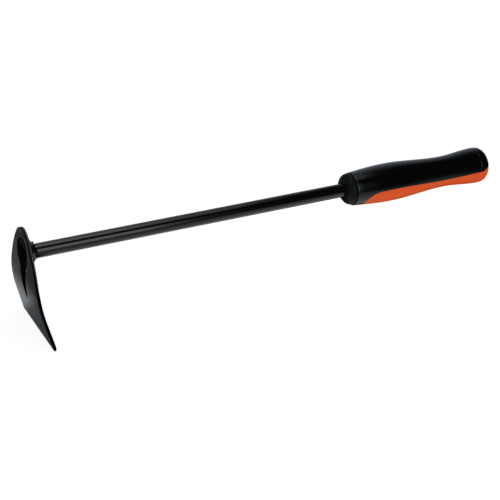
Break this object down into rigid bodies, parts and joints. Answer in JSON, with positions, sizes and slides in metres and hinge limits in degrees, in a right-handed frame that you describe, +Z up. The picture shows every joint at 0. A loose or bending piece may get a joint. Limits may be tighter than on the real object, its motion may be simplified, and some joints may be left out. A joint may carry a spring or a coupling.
{
  "type": "draw hoe",
  "caption": "Hand draw hoe with a bent, flared sheet-steel blade, a black tubular shaft and a waisted two-colour soft grip.",
  "frame": {"origin": "on the shaft axis at the middle of the handle, where the palm closes", "axes": "+X along the shaft from the blade to the butt, +Z up with the blade hanging towards -Z, +Y across the blade"},
  "size_m": [0.4452, 0.082, 0.0903],
  "materials": {
    "blade_steel": "satin",
    "shaft_paint": "gloss",
    "weld_paint": "satin",
    "core_plastic": "satin",
    "grip_black": "satin",
    "grip_orange": "satin"
  },
  "bodies": {
    "root": {"blade": "blade_steel", "shaft": "shaft_paint", "rear_weld": "weld_paint", "front_weld": "weld_paint", "handle_core": "core_plastic", "upper_grip": "grip_black", "lower_grip": "grip_orange"}
  },
  "joints": []
}
